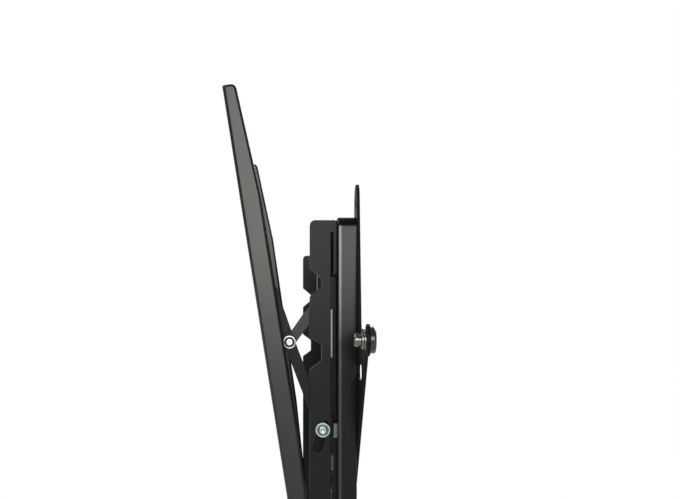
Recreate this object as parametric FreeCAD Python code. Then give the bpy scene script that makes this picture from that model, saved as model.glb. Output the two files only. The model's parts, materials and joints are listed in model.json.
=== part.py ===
import FreeCAD, Part
import math
import os

# Tilting wall mount for a television, in the frame of the wall it hangs on.
# +X runs along the wall, +Y points into the wall, +Z is up.
# The wall plane is Y = 0 and Z = 0 is the middle of the wall tray.
# All lengths are in millimetres.

V = FreeCAD.Vector

# Fits and gaps
FIT = 0.05             # radial room of a fixed shank in its hole
RUN = 0.06             # radial room of a pivot in its hole
GAP = 0.3              # room between faces that slide past each other
BREAK = 0.4            # broken edge on turned hardware

# Wall tray, a drawn sheet tray with its open side to the wall
TRAY_W = 420.0
TRAY_H = 290.0
TRAY_D = 16.0
TRAY_T = 2.0
TRAY_EDGE_R = 1.1
TRAY_INSIDE_R = 0.6
TRAY_CORNER_R = 10.0
TRAY_FLANGE = 18.0     # inward flange at each end and below
TRAY_FLANGE_H = 230.0
LOW_FLANGE_W = 250.0
WINDOW_W = 190.0
WINDOW_H = 48.0
WINDOW_Z = 46.0
LOW_WINDOW_H = 52.0
LOW_WINDOW_Z = -88.0
WINDOW_R = 6.0

# Rear plates with a tongue above and an ear beside the tray
PLATE_T = 2.5
PAD_T = 4.5            # feet and pads that meet the wall
TONGUE_IN = 32.0       # inner side, in from the tray's end
TONGUE_OUT = 2.5       # outer side, in from the tray's end
TONGUE_TOP = 173.5
TONGUE_R = 13.5
EAR_ROOT = 19.8        # beyond the tray's end
FOOT_OUT = 94.8        # beyond the tray's end
FOOT_Z = 42.0
LOBE_R = 12.0
EAR_RISE = 7.5         # ear's upper edge above the foot
EAR_DROP = 10.0        # ear's lower edge below the foot
PLATE_LOW_IN = 29.0
PLATE_LOW_Z = -81.0
PLATE_IN = 38.0
SLOT_L = 46.0
SLOT_W = 12.7
SLOT_OUT = 27.0        # beyond the tray's end
SLOT_Z = 15.4
TOP_HOLE_D = 8.5
TOP_HOLE_IN = 17.0
TOP_HOLE_Z = 157.0

# Levelling screws, feet and pads
FOOT_D = 20.0
FOOT_EDGE_R = 1.8
SCREW_D = 6.0
SCREW_HEAD_D = 10.4
SCREW_HEAD_H = 3.0
SCREW_NECK_D = 8.0
SCREW_NECK_H = 2.2
SCREW_END = 1.5        # skin left in the foot behind the screw
WASHER_D = 14.2
WASHER_T = 1.85
WASHER_COUNT = 2
PAD_D = 15.0
PAD_X = 100.0

# Hook rail and lower bar on the tray's face
RAIL_IN = 20.0         # each end in from the tray's end
RAIL_H = 33.0
RAIL_T = 1.8
RAIL_TOP = 132.5
RAIL_STAND = 3.4
RAIL_PITCH = 60.0
BAR_IN = 5.0
BAR_H = 12.0
BAR_T = 3.2
BAR_Z = -35.6
BAR_PITCH = 85.0
RIVET_D = 4.0
RIVET_HEAD_D = 8.0
RIVET_HEAD_H = 1.3
SPACER_D = 9.0
PLATE_RIVET_PITCH = 55.0
PLATE_RIVET_LOW = -25.0

# Hook brackets: two cheeks and a web folded from one sheet
BRACKET_IN = 10.0      # outer face of the outer cheek, in from the tray's end
CHEEK_T = 2.5
CHEEK_GAP = 9.0
WEB_T = 2.0
FRONT_Y = -46.2
HOOK_TOP = 142.9
HOOK_LEN = 45.9
HOOK_R = 4.3
WEB_TOP = 96.0
WEB_LOW = -163.0
WEB_HOLE_TOP = -19.0
WEB_HOLE_LOW = -61.0
NOSE_TOP = -57.0
NOSE_H = 13.5
NOSE_OUT = 2.2
HEEL_Z = -127.0
HEEL_H = 16.0
BEAR_TOP_DROP = 3.6    # below the rail
BEAR_LOW_RISE = 6.0    # above the stop bar
NOTCH_R = 1.6
LOW_NOTCH_Z = 29.6
LOW_NOTCH_FLAT = 13.2
LOW_NOTCH_MOUTH = 27.4
UP_NOTCH_Z = 90.2
UP_NOTCH_FLAT = 6.8
UP_NOTCH_MOUTH = 24.2
NOTCH_DEPTH = 10.0
STRIP_H = 41.0
STRIP_Z = 46.5
STRIP_T = 1.5

# Tilt pivot of the arm, low on the bracket
TILT = 8.97            # lean of the right arm at rest, degrees
LEFT_EASE = 0.65       # left arm stands this much steeper at rest, degrees
SHORT_RATIO = -3.43    # turn of the short link for a turn of the arm
LONG_RATIO = 5.53      # turn of the long link on the short one
PIVOT_Y = -44.5
PIVOT_Z = -171.7
PIVOT_D = 8.0
PIVOT_LOBE_R = 13.0
PIVOT_HEAD_D = 13.0
PIVOT_HEAD_H = 4.5
PIVOT_SLEEVE_D = 12.5

# Stay links: short link from bracket to middle pivot, long link across it
PIN_Y = -37.8
PIN_Z = 73.3
PIN_D = 6.0
PIN_HEAD_D = 9.0
PIN_HEAD_H = 1.4
MID_Y = -63.7
MID_Z = 39.0
MID_D = 6.0
MID_HEAD_D = 11.1
MID_HEAD_H = 3.4
MID_NUT_D = 10.0
MID_NUT_H = 2.0
LOCK_Y = -35.3
LOCK_Z = -35.6
LOCK_D = 5.8
LOCK_HEAD_D = 10.2
LOCK_HEAD_H = 3.6
LOCK_WASHER_D = 12.5
LOCK_WASHER_T = 1.2
LOCK_NUT_D = 10.0
LOCK_NUT_H = 4.2
LOCK_SLOT_W = 7.4
LOCK_RISE = 5.0        # room of the lock bolt up its slot
LOCK_FALL = 16.2       # room of the lock bolt down its slot
LOCK_SLOT_LEAN = 16.2  # lean of the slot, degrees
SLIDE_UP = 60.0        # slide pin past the middle pivot
SLIDE_D = 5.0
SLIDE_HEAD_D = 11.4
SLIDE_HEAD_H = 2.4
SLIDE_PLAY = 2.1       # side room of the slide pin in the arm
SLIDE_BACK = 8.2       # travel of the slide pin towards the tilt pivot
SLIDE_ON = 2.8         # travel of the slide pin away from it
LINK_T = 2.5
LONG_W = 9.7
SHORT_W = 9.2
LINK_GAP = 0.5

# Safety screw under the tray
SAFE_D = 5.0
SAFE_HEAD_D = 8.4
SAFE_HEAD_H = 5.0
SAFE_DROP = 7.0        # below the tray's lower edge
SAFE_REACH = 18.0      # past the web towards the wall

# Tilt arms, channels that carry the television
ARM_OUT = 9.5          # outer flange beyond the bracket's outer cheek
ARM_W = 31.5
ARM_T = 2.0
ARM_LEN = 434.0        # from the tilt pivot to the top
ARM_DEPTH = 18.1
ARM_INNER_MORE = 1.0   # inner flange deeper than the outer one
ARM_FRONT = 8.4        # tilt pivot behind the arm's front face
ARM_BEND_R = 3.2
ARM_TOP_DEPTH = 11.8
ARM_TOP_TAPER = 96.0
ARM_LOW_DEPTH = 13.2
ARM_LOW_TAPER = 130.0
ARM_TOP_R = 5.0
ARM_WEB_LOW = 22.0
ARM_EAR_R = 8.7
TV_SLOT_L = 28.0
TV_SLOT_W = 9.0
TV_SLOT_FIRST = 60.0
TV_SLOT_PITCH = 50.0

# Places that follow from the sizes above
TRAY_END = TRAY_W / 2.0
TONGUE_IN_X = TRAY_END - TONGUE_IN
TONGUE_OUT_X = TRAY_END - TONGUE_OUT
EAR_ROOT_X = TRAY_END + EAR_ROOT
FOOT_X = TRAY_END + FOOT_OUT
PLATE_LOW_X = TRAY_END - PLATE_LOW_IN
PLATE_IN_X = TRAY_END - PLATE_IN
SLOT_X = TRAY_END + SLOT_OUT
TOP_HOLE_X = TRAY_END - TOP_HOLE_IN
PAD_Z = -TRAY_H / 2.0 + TRAY_T + TRAY_FLANGE / 2.0
RAIL_W = TRAY_W - 2 * RAIL_IN
BAR_W = TRAY_W - 2 * BAR_IN
BRACKET_X = TRAY_END - BRACKET_IN
TV_SLOT_COUNT = 1 + int((ARM_LEN - TV_SLOT_FIRST - TV_SLOT_L / 2.0) // TV_SLOT_PITCH)
PLATE_REAR = -PAD_T
PLATE_FRONT = PLATE_REAR - PLATE_T
TRAY_FRONT = PLATE_FRONT - TRAY_D
RAIL_REAR = TRAY_FRONT - RAIL_STAND
RAIL_FRONT = RAIL_REAR - RAIL_T
BACK_Y = RAIL_FRONT - GAP
TONGUE_FRONT = RAIL_REAR + GAP
TONGUE_REAR = TRAY_FRONT - GAP
NOTCH_Y = FRONT_Y + NOTCH_DEPTH
CHEEK_IN = BRACKET_X - CHEEK_T
INNER_OUT = CHEEK_IN - CHEEK_GAP
INNER_IN = INNER_OUT - CHEEK_T
LONG_OUT = CHEEK_IN - LINK_GAP
LONG_IN = LONG_OUT - LINK_T
SHORT_OUT = LONG_IN - LINK_GAP
SHORT_IN = SHORT_OUT - LINK_T
ARM_OUTER = BRACKET_X + ARM_OUT
ARM_INNER = ARM_OUTER - ARM_W
CHEEK_MID = (CHEEK_IN + INNER_OUT) / 2.0
MID_TO_LOCK = math.hypot(MID_Y - LOCK_Y, MID_Z - LOCK_Z)
LONG_DY = (MID_Y - LOCK_Y) / MID_TO_LOCK
LONG_DZ = (MID_Z - LOCK_Z) / MID_TO_LOCK
SLIDE_Y = MID_Y + SLIDE_UP * LONG_DY
SLIDE_Z = MID_Z + SLIDE_UP * LONG_DZ


# Outlines with rounded corners
def outline(corners, place):
    """Closed wire through (u, v, radius) corners, each rounded by its radius."""
    count = len(corners)
    starts = []
    ends = []
    mids = []
    for i in range(count):
        u, v, r = corners[i]
        here = V(u, v, 0)
        back = V(corners[i - 1][0], corners[i - 1][1], 0) - here
        ahead = V(corners[(i + 1) % count][0], corners[(i + 1) % count][1], 0) - here
        back.normalize()
        ahead.normalize()
        if r <= 0:
            starts.append(here)
            ends.append(here)
            mids.append(None)
            continue
        half = back.getAngle(ahead) / 2.0
        run = r / math.tan(half)
        inward = back + ahead
        inward.normalize()
        centre = here + inward * (r / math.sin(half))
        starts.append(here + back * run)
        ends.append(here + ahead * run)
        mids.append(centre - inward * r)
    edges = []
    for i in range(count):
        if mids[i] is not None:
            edges.append(Part.Arc(place(starts[i]), place(mids[i]), place(ends[i])).toShape())
        after = starts[(i + 1) % count]
        if (after - ends[i]).Length > 1e-6:
            edges.append(Part.LineSegment(place(ends[i]), place(after)).toShape())
    return Part.Wire(edges)


def plate_x(corners, x0, x1):
    """Plate with a Y-Z outline from x0 to x1."""
    wire = outline(corners, lambda p: V(x0, p.x, p.y))
    return Part.Face(wire).extrude(V(x1 - x0, 0, 0))


def plate_y(corners, y0, y1):
    """Plate with an X-Z outline from y0 to y1."""
    wire = outline(corners, lambda p: V(p.x, y0, p.y))
    return Part.Face(wire).extrude(V(0, y1 - y0, 0))


def box(x0, x1, y0, y1, z0, z1):
    return Part.makeBox(x1 - x0, y1 - y0, z1 - z0, V(x0, y0, z0))


def rod_x(r, x0, x1, y, z):
    return Part.makeCylinder(r, x1 - x0, V(x0, y, z), V(1, 0, 0))


def rod_y(r, y0, y1, x, z):
    return Part.makeCylinder(r, y1 - y0, V(x, y0, z), V(0, 1, 0))


def bar_x(r, x0, x1, a, b):
    """Round-ended bar from a to b, both (y, z), of half width r."""
    dy = b[0] - a[0]
    dz = b[1] - a[1]
    length = math.hypot(dy, dz)
    middle = Part.makeBox(x1 - x0, length, 2 * r, V(x0, 0, -r))
    middle.rotate(V(0, 0, 0), V(1, 0, 0), math.degrees(math.atan2(dz, dy)))
    middle.translate(V(0, a[0], a[1]))
    ends = [rod_x(r, x0, x1, a[0], a[1]), rod_x(r, x0, x1, b[0], b[1])]
    return middle.multiFuse(ends).removeSplitter()


def slot_y(length, width, y0, y1, x, z):
    """Round-ended slot along X, cut along Y."""
    r = width / 2.0
    reach = length / 2.0 - r
    middle = box(x - reach, x + reach, y0, y1, z - r, z + r)
    ends = [rod_y(r, y0, y1, x - reach, z), rod_y(r, y0, y1, x + reach, z)]
    return middle.multiFuse(ends).removeSplitter()


def rounded_rect(w, h, r, z=0.0):
    a = w / 2.0
    b = h / 2.0
    return [(-a, z - b, r), (a, z - b, r), (a, z + b, r), (-a, z + b, r)]


def hexagon_x(across, x0, x1, y, z):
    corner = across / math.sqrt(3.0)
    points = []
    for i in range(6):
        angle = math.radians(30 + 60 * i)
        points.append((y + corner * math.cos(angle), z + corner * math.sin(angle), 0))
    return plate_x(points, x0, x1)


def ring_edges(shape, axis, at, radius):
    """Circular edges of one radius in the plane axis = at."""
    found = []
    for edge in shape.Edges:
        if not hasattr(edge.Curve, "Radius"):
            continue
        place = getattr(edge.CenterOfMass, axis)
        if abs(edge.Curve.Radius - radius) < 1e-6 and abs(place - at) < 1e-6:
            found.append(edge)
    return found


def straight_edges(shape, axis, test):
    """Straight edges along one axis whose middle passes the test."""
    found = []
    for edge in shape.Edges:
        if edge.Curve.TypeId != "Part::GeomLine":
            continue
        run = edge.Vertexes[-1].Point - edge.Vertexes[0].Point
        if abs(abs(getattr(run, axis)) - run.Length) < 1e-6 and test(edge.CenterOfMass):
            found.append(edge)
    return found


# Wall tray
def wall_tray():
    outer = plate_y(rounded_rect(TRAY_W, TRAY_H, TRAY_CORNER_R), TRAY_FRONT, PLATE_FRONT)
    rim = [e for e in outer.Edges if abs(e.CenterOfMass.y - TRAY_FRONT) < 1e-6]
    outer = outer.makeFillet(TRAY_EDGE_R, rim)
    inside = rounded_rect(TRAY_W - 2 * TRAY_T, TRAY_H - 2 * TRAY_T, TRAY_CORNER_R - TRAY_T)
    inner = plate_y(inside, TRAY_FRONT + TRAY_T, PLATE_FRONT)
    rim = [e for e in inner.Edges if abs(e.CenterOfMass.y - TRAY_FRONT - TRAY_T) < 1e-6]
    inner = inner.makeFillet(TRAY_INSIDE_R, rim)
    tray = outer.cut(inner)
    flanges = []
    for side in (-1, 1):
        wall = side * (TRAY_W / 2.0 - TRAY_T / 2.0)
        lip = side * (TRAY_W / 2.0 - TRAY_T - TRAY_FLANGE)
        x0, x1 = sorted((wall, lip))
        half = TRAY_FLANGE_H / 2.0
        flanges.append(box(x0, x1, PLATE_FRONT - TRAY_T, PLATE_FRONT, -half, half))
    low = -TRAY_H / 2.0 + TRAY_T
    half = LOW_FLANGE_W / 2.0
    flanges.append(box(-half, half, PLATE_FRONT - TRAY_T, PLATE_FRONT, low - TRAY_T / 2.0, low + TRAY_FLANGE))
    tray = tray.multiFuse(flanges).removeSplitter()
    cuts = []
    front = (TRAY_FRONT - 1, TRAY_FRONT + TRAY_T + 1)
    cuts.append(plate_y(rounded_rect(WINDOW_W, WINDOW_H, WINDOW_R, WINDOW_Z), *front))
    cuts.append(plate_y(rounded_rect(WINDOW_W, LOW_WINDOW_H, WINDOW_R, LOW_WINDOW_Z), *front))
    for x in rail_places():
        cuts.append(rod_y(RIVET_D / 2.0 + FIT, *front, x, rail_mid()))
    for x in bar_places():
        cuts.append(rod_y(RIVET_D / 2.0 + FIT, *front, x, BAR_Z))
    for x, z in plate_rivet_places():
        cuts.append(rod_y(RIVET_D / 2.0 + FIT, PLATE_FRONT - TRAY_T - 1, PLATE_FRONT + 1, x, z))
    for cut in cuts:
        tray = tray.cut(cut)
    return tray


def rail_mid():
    return RAIL_TOP - RAIL_H / 2.0


def rail_places():
    return [-2 * RAIL_PITCH, -RAIL_PITCH, RAIL_PITCH, 2 * RAIL_PITCH]


def bar_places():
    return [-BAR_PITCH * 1.5, -BAR_PITCH * 0.5, BAR_PITCH * 0.5, BAR_PITCH * 1.5]


def plate_rivet_places():
    x = TRAY_W / 2.0 - TRAY_T - TRAY_FLANGE / 2.0
    places = []
    for side in (-1, 1):
        for i in range(3):
            places.append((side * x, PLATE_RIVET_LOW + i * PLATE_RIVET_PITCH))
    return places


# Rear plate on the right, the left one is its mirror
def rear_plate():
    tip = FOOT_X - EAR_RISE
    corners = [
        (PLATE_IN_X, PLATE_LOW_Z - (PLATE_LOW_X - PLATE_IN_X), 4),
        (PLATE_LOW_X, PLATE_LOW_Z, 0),
        (tip, FOOT_Z - EAR_DROP, 0),
        (tip, FOOT_Z + EAR_RISE, 0),
        (EAR_ROOT_X, FOOT_Z + EAR_RISE + 1.0, 6),
        (TONGUE_OUT_X, TONGUE_TOP, TONGUE_R),
        (TONGUE_IN_X, TONGUE_TOP, TONGUE_R),
    ]
    plate = plate_y(corners, PLATE_FRONT, PLATE_REAR)
    lobe = rod_y(LOBE_R, PLATE_FRONT, PLATE_REAR, FOOT_X, FOOT_Z)
    plate = plate.fuse(lobe).removeSplitter()
    through = (PLATE_FRONT - 1, PLATE_REAR + 1)
    cuts = [
        slot_y(SLOT_L, SLOT_W, *through, SLOT_X, SLOT_Z),
        rod_y(TOP_HOLE_D / 2.0, *through, TOP_HOLE_X, TOP_HOLE_Z),
        rod_y(SCREW_D / 2.0 + FIT, *through, FOOT_X, FOOT_Z),
    ]
    for x, z in plate_rivet_places():
        if x > 0:
            cuts.append(rod_y(RIVET_D / 2.0 + FIT, *through, x, z))
    for cut in cuts:
        plate = plate.cut(cut)
    return plate


def levelling_screw():
    seat = PLATE_FRONT - WASHER_COUNT * WASHER_T
    neck = seat - SCREW_NECK_H
    head = rod_y(SCREW_HEAD_D / 2.0, neck - SCREW_HEAD_H, neck, FOOT_X, FOOT_Z)
    head = head.makeFillet(BREAK * 2, ring_edges(head, "y", neck - SCREW_HEAD_H, SCREW_HEAD_D / 2.0))
    collar = rod_y(SCREW_NECK_D / 2.0, neck, seat, FOOT_X, FOOT_Z)
    shank = rod_y(SCREW_D / 2.0, seat, -SCREW_END, FOOT_X, FOOT_Z)
    screw = head.multiFuse([collar, shank]).removeSplitter()
    drive = rod_y(SCREW_HEAD_D / 4.0, neck - SCREW_HEAD_H - 1, neck - SCREW_HEAD_H / 2.0, FOOT_X, FOOT_Z)
    return screw.cut(drive)


def levelling_washers():
    washers = []
    for i in range(WASHER_COUNT):
        y1 = PLATE_FRONT - i * WASHER_T
        disc = rod_y(WASHER_D / 2.0, y1 - WASHER_T, y1, FOOT_X, FOOT_Z)
        rims = ring_edges(disc, "y", y1 - WASHER_T, WASHER_D / 2.0)
        rims += ring_edges(disc, "y", y1, WASHER_D / 2.0)
        disc = disc.makeFillet(BREAK, rims)
        washers.append(disc.cut(rod_y(SCREW_D / 2.0 + FIT, y1 - WASHER_T - 1, y1 + 1, FOOT_X, FOOT_Z)))
    return washers


def levelling_foot():
    foot = rod_y(FOOT_D / 2.0, PLATE_REAR, 0, FOOT_X, FOOT_Z)
    foot = foot.makeFillet(FOOT_EDGE_R, ring_edges(foot, "y", 0, FOOT_D / 2.0))
    return foot.cut(rod_y(SCREW_D / 2.0 + FIT, PLATE_REAR - 1, -SCREW_END, FOOT_X, FOOT_Z))


def wall_pad():
    pad = rod_y(PAD_D / 2.0, PLATE_FRONT, 0, PAD_X, PAD_Z)
    return pad.makeFillet(BREAK * 2, ring_edges(pad, "y", 0, PAD_D / 2.0))


# Rail, bar and their rivets
def hook_rail():
    a = RAIL_W / 2.0
    rail = box(-a, a, RAIL_FRONT, RAIL_REAR, RAIL_TOP - RAIL_H, RAIL_TOP)
    for x in rail_places():
        rail = rail.cut(rod_y(RIVET_D / 2.0 + FIT, RAIL_FRONT - 1, RAIL_REAR + 1, x, rail_mid()))
    return rail


def rail_spacers():
    spacers = []
    for x in rail_places():
        ring = rod_y(SPACER_D / 2.0, RAIL_REAR, TRAY_FRONT, x, rail_mid())
        spacers.append(ring.cut(rod_y(RIVET_D / 2.0 + FIT, RAIL_REAR - 1, TRAY_FRONT + 1, x, rail_mid())))
    return spacers


def rivet(front, rear, x, z):
    """Rivet along Y that clamps from front to rear."""
    r = RIVET_HEAD_D / 2.0
    head = rod_y(r, front - RIVET_HEAD_H, front, x, z)
    head = head.makeFillet(RIVET_HEAD_H * 0.7, ring_edges(head, "y", front - RIVET_HEAD_H, r))
    tail = rod_y(r * 0.8, rear, rear + RIVET_HEAD_H, x, z)
    shank = rod_y(RIVET_D / 2.0, front, rear, x, z)
    return head.multiFuse([shank, tail]).removeSplitter()


def stop_bar():
    a = BAR_W / 2.0
    low = BAR_Z - BAR_H / 2.0
    bar = box(-a, a, TRAY_FRONT - BAR_T, TRAY_FRONT, low, low + BAR_H)
    for x in bar_places():
        bar = bar.cut(rod_y(RIVET_D / 2.0 + FIT, TRAY_FRONT - BAR_T - 1, TRAY_FRONT + 1, x, BAR_Z))
    return bar


# Hook bracket on the right
def notch(middle, flat, mouth):
    """Corners of a notch in the front edge, from below upwards."""
    return [
        (FRONT_Y, middle - mouth / 2.0, NOTCH_R),
        (NOTCH_Y, middle - flat / 2.0, NOTCH_R),
        (NOTCH_Y, middle + flat / 2.0, NOTCH_R),
        (FRONT_Y, middle + mouth / 2.0, NOTCH_R),
    ]


def bearing_edge():
    """Rear edge of the inner cheek that bears on the tray between the rail and the stop bar."""
    top = RAIL_TOP - RAIL_H - BEAR_TOP_DROP
    low = BAR_Z + BAR_H / 2.0 + BEAR_LOW_RISE
    return [
        (BACK_Y, top, BREAK),
        (TONGUE_REAR, top - BREAK * 2, BREAK),
        (TONGUE_REAR, low + BREAK * 2, BREAK),
        (BACK_Y, low, BREAK),
    ]


def cheek(x0, x1, outer):
    """One notched cheek of the bracket: the outer one has the lock slot, the inner one the pin's hole."""
    low = PIVOT_Z - PIVOT_LOBE_R
    corners = [(FRONT_Y, low, 0)]
    corners += notch(LOW_NOTCH_Z, LOW_NOTCH_FLAT, LOW_NOTCH_MOUTH)
    corners += notch(UP_NOTCH_Z, UP_NOTCH_FLAT, UP_NOTCH_MOUTH)
    corners += [
        (FRONT_Y, HOOK_TOP, HOOK_R),
        (TONGUE_REAR, HOOK_TOP, BREAK * 5),
        (TONGUE_REAR, HOOK_TOP - HOOK_LEN, BREAK * 2),
        (TONGUE_FRONT, HOOK_TOP - HOOK_LEN, BREAK * 2),
        (TONGUE_FRONT, RAIL_TOP + GAP, BREAK),
        (BACK_Y, RAIL_TOP + GAP, BREAK),
    ]
    if not outer:
        corners += bearing_edge()
    corners += [
        (BACK_Y, NOSE_TOP, 0),
        (BACK_Y + NOSE_OUT, NOSE_TOP - BREAK * 2, BREAK),
        (BACK_Y + NOSE_OUT, NOSE_TOP - NOSE_H + BREAK * 2, BREAK),
        (BACK_Y, NOSE_TOP - NOSE_H, 0),
        (BACK_Y, HEEL_Z + HEEL_H / 2.0, BREAK),
        (TONGUE_REAR, HEEL_Z + HEEL_H / 2.0, BREAK * 2),
        (TONGUE_REAR, HEEL_Z - HEEL_H / 2.0, BREAK * 2),
        (BACK_Y, HEEL_Z - HEEL_H / 2.0, BREAK),
        (BACK_Y, low, 0),
    ]
    side = plate_x(corners, x0, x1)
    side = side.fuse(rod_x(PIVOT_LOBE_R, x0, x1, PIVOT_Y, PIVOT_Z)).removeSplitter()
    lean = math.radians(LOCK_SLOT_LEAN)
    top = (LOCK_Y + LOCK_RISE * math.sin(lean), LOCK_Z + LOCK_RISE * math.cos(lean))
    end = (LOCK_Y - LOCK_FALL * math.sin(lean), LOCK_Z - LOCK_FALL * math.cos(lean))
    if outer:
        side = side.cut(bar_x(LOCK_SLOT_W / 2.0, x0 - 1, x1 + 1, top, end))
    else:
        side = side.cut(rod_x(PIN_D / 2.0 + FIT, x0 - 1, x1 + 1, PIN_Y, PIN_Z))
    return side.cut(rod_x(PIVOT_D / 2.0 + FIT, x0 - 1, x1 + 1, PIVOT_Y, PIVOT_Z))


def hook_bracket():
    inner = cheek(INNER_IN, INNER_OUT, False)
    outer = cheek(CHEEK_IN, BRACKET_X, True)
    web = box(INNER_OUT, CHEEK_IN, BACK_Y - WEB_T, BACK_Y, WEB_LOW, WEB_TOP)
    web = web.cut(box(INNER_OUT, CHEEK_IN, BACK_Y - WEB_T, BACK_Y, WEB_HOLE_LOW, WEB_HOLE_TOP))
    safe_z = -TRAY_H / 2.0 - SAFE_DROP
    web = web.cut(rod_y(SAFE_D / 2.0 + FIT, BACK_Y - WEB_T - 1, BACK_Y + 1, CHEEK_MID, safe_z))
    return outer.multiFuse([inner, web]).removeSplitter()


def glide_strip():
    low = STRIP_Z - STRIP_H / 2.0
    return box(CHEEK_IN, BRACKET_X, BACK_Y, BACK_Y + STRIP_T, low, low + STRIP_H)


def safety_screw():
    z = -TRAY_H / 2.0 - SAFE_DROP
    seat = BACK_Y - WEB_T
    head = rod_y(SAFE_HEAD_D / 2.0, seat - SAFE_HEAD_H, seat, CHEEK_MID, z)
    head = head.makeFillet(BREAK, ring_edges(head, "y", seat - SAFE_HEAD_H, SAFE_HEAD_D / 2.0))
    shank = rod_y(SAFE_D / 2.0, seat, BACK_Y + SAFE_REACH, CHEEK_MID, z)
    shank = shank.makeChamfer(BREAK * 2, ring_edges(shank, "y", BACK_Y + SAFE_REACH, SAFE_D / 2.0))
    drive = rod_y(SAFE_HEAD_D / 4.0, seat - SAFE_HEAD_H - 1, seat - SAFE_HEAD_H / 2.0, CHEEK_MID, z)
    return head.fuse(shank).removeSplitter().cut(drive)


# Tilt pivot bolt, nut and sleeves
def pivot_bolt():
    seat = ARM_OUTER + GAP
    head = hexagon_x(PIVOT_HEAD_D, seat, seat + PIVOT_HEAD_H, PIVOT_Y, PIVOT_Z)
    end = ARM_INNER - GAP - PIVOT_HEAD_H - BREAK * 2
    shank = rod_x(PIVOT_D / 2.0, end, seat, PIVOT_Y, PIVOT_Z)
    shank = shank.makeChamfer(BREAK, ring_edges(shank, "x", end, PIVOT_D / 2.0))
    return head.fuse(shank).removeSplitter()


def pivot_nut():
    seat = ARM_INNER - GAP
    nut = hexagon_x(PIVOT_HEAD_D, seat - PIVOT_HEAD_H, seat, PIVOT_Y, PIVOT_Z)
    return nut.cut(rod_x(PIVOT_D / 2.0 + FIT, seat - PIVOT_HEAD_H - 1, seat + 1, PIVOT_Y, PIVOT_Z))


def pivot_sleeves():
    spans = [
        (BRACKET_X, ARM_OUTER - ARM_T - GAP),
        (INNER_OUT, CHEEK_IN),
        (ARM_INNER + ARM_T + GAP, INNER_IN),
    ]
    sleeves = []
    for x0, x1 in spans:
        ring = rod_x(PIVOT_SLEEVE_D / 2.0, x0, x1, PIVOT_Y, PIVOT_Z)
        sleeves.append(ring.cut(rod_x(PIVOT_D / 2.0 + FIT, x0 - 1, x1 + 1, PIVOT_Y, PIVOT_Z)))
    return sleeves


# Stay links and their hardware
def short_link():
    link = bar_x(SHORT_W / 2.0, SHORT_IN, SHORT_OUT, (PIN_Y, PIN_Z), (MID_Y, MID_Z))
    link = link.cut(rod_x(PIN_D / 2.0 + RUN, SHORT_IN - 1, SHORT_OUT + 1, PIN_Y, PIN_Z))
    return link.cut(rod_x(MID_D / 2.0 + RUN, SHORT_IN - 1, SHORT_OUT + 1, MID_Y, MID_Z))


def short_link_pin():
    head = rod_x(PIN_HEAD_D / 2.0, INNER_IN - PIN_HEAD_H, INNER_IN, PIN_Y, PIN_Z)
    head = head.makeFillet(BREAK, ring_edges(head, "x", INNER_IN - PIN_HEAD_H, PIN_HEAD_D / 2.0))
    shoulder = rod_x(PIN_HEAD_D / 2.0, INNER_OUT, SHORT_IN - GAP, PIN_Y, PIN_Z)
    shank = rod_x(PIN_D / 2.0, INNER_IN, SHORT_OUT, PIN_Y, PIN_Z)
    return head.multiFuse([shoulder, shank]).removeSplitter()


def long_link():
    link = bar_x(LONG_W / 2.0, LONG_IN, LONG_OUT, (LOCK_Y, LOCK_Z), (SLIDE_Y, SLIDE_Z))
    holes = ((MID_Y, MID_Z, MID_D), (LOCK_Y, LOCK_Z, LOCK_D), (SLIDE_Y, SLIDE_Z, SLIDE_D))
    for y, z, d in holes:
        link = link.cut(rod_x(d / 2.0 + FIT, LONG_IN - 1, LONG_OUT + 1, y, z))
    return link


def mid_bolt():
    top = LONG_OUT + MID_HEAD_H
    head = rod_x(MID_HEAD_D / 2.0, LONG_OUT, top, MID_Y, MID_Z)
    head = head.makeFillet(BREAK * 2, ring_edges(head, "x", top, MID_HEAD_D / 2.0))
    end = SHORT_IN - GAP - MID_NUT_H - BREAK / 2.0
    bolt = head.fuse(rod_x(MID_D / 2.0, end, LONG_OUT, MID_Y, MID_Z)).removeSplitter()
    return bolt.cut(rod_x(MID_HEAD_D / 4.0, top - MID_HEAD_H / 2.0, top + 1, MID_Y, MID_Z))


def mid_nut():
    x1 = SHORT_IN - GAP
    nut = hexagon_x(MID_NUT_D, x1 - MID_NUT_H, x1, MID_Y, MID_Z)
    return nut.cut(rod_x(MID_D / 2.0 + FIT, x1 - MID_NUT_H - 1, x1 + 1, MID_Y, MID_Z))


def lock_washer():
    x0 = BRACKET_X + GAP
    disc = rod_x(LOCK_WASHER_D / 2.0, x0, x0 + LOCK_WASHER_T, LOCK_Y, LOCK_Z)
    rims = ring_edges(disc, "x", x0 + LOCK_WASHER_T, LOCK_WASHER_D / 2.0)
    disc = disc.makeFillet(min(BREAK, LOCK_WASHER_T * 0.45), rims)
    return disc.cut(rod_x(LOCK_D / 2.0 + FIT, x0 - 1, x0 + LOCK_WASHER_T + 1, LOCK_Y, LOCK_Z))


def lock_bolt():
    seat = BRACKET_X + GAP + LOCK_WASHER_T
    top = seat + LOCK_HEAD_H
    head = rod_x(LOCK_HEAD_D / 2.0, seat, top, LOCK_Y, LOCK_Z)
    head = head.makeFillet(BREAK * 3, ring_edges(head, "x", top, LOCK_HEAD_D / 2.0))
    end = LONG_IN - LOCK_NUT_H - BREAK
    bolt = head.fuse(rod_x(LOCK_D / 2.0, end, seat, LOCK_Y, LOCK_Z)).removeSplitter()
    drive = hexagon_x(LOCK_D * 0.7, top - LOCK_HEAD_H * 0.6, top + 1, LOCK_Y, LOCK_Z)
    return bolt.cut(drive)


def lock_nut():
    nut = hexagon_x(LOCK_NUT_D, LONG_IN - LOCK_NUT_H, LONG_IN, LOCK_Y, LOCK_Z)
    return nut.cut(rod_x(LOCK_D / 2.0 + FIT, LONG_IN - LOCK_NUT_H - 1, LONG_IN + 1, LOCK_Y, LOCK_Z))


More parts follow.
